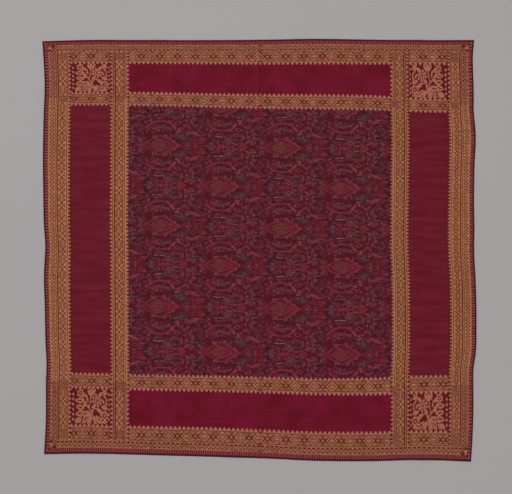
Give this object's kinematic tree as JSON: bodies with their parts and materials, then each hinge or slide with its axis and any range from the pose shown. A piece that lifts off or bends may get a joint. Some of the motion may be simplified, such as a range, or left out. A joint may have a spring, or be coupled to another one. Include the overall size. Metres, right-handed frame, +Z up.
{
  "type": "headcloth",
  "caption": "Square woven silk headcloth laid out flat, dark red with gold brocade borders, corner squares and a tie-dyed centre field.",
  "frame": {"origin": "middle of the cloth's box, on the surface that it lies on", "axes": "+X along the widest way of the cloth, to the right as it is seen from above; +Y towards its top edge; +Z up, through its thickness"},
  "size_m": [0.87, 0.8476, 0.0046],
  "materials": {
    "silk": "plain woven silk, dark crimson with a dull sheen",
    "gold_thread": "gold-wrapped brocading thread, aged and softly lustrous"
  },
  "bodies": {
    "root": {"headcloth": "silk"}
  },
  "joints": []
}
